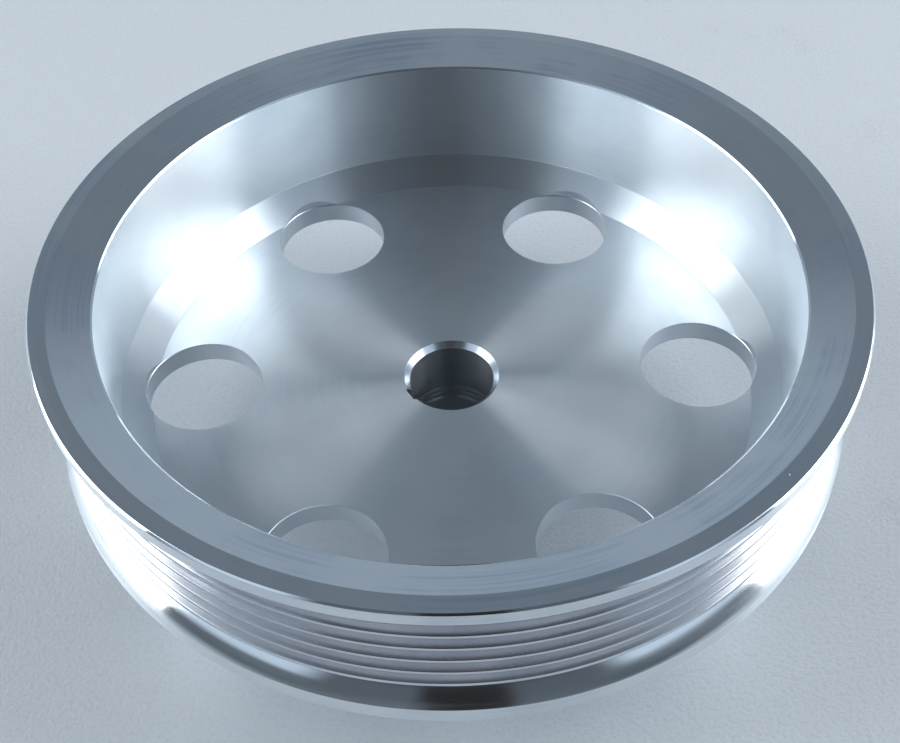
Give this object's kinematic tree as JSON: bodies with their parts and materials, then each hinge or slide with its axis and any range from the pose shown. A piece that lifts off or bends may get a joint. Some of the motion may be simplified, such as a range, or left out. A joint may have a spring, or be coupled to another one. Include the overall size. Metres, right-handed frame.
{
  "type": "supercharger drive pulley",
  "caption": "One-piece turned aluminium poly-V belt pulley for a supercharger drive, with a dished front, round lightening holes, a keyed bore and a hub that stands out at the back.",
  "frame": {"origin": "centre of the bore at the hub's back face", "axes": "+Z along the bore axis, out of the dished front; +X through the middle of a lightening hole"},
  "size_m": [0.154, 0.154, 0.058],
  "materials": {
    "billet_aluminium": "polished"
  },
  "bodies": {
    "root": {"drive_pulley": "billet_aluminium"}
  },
  "joints": []
}
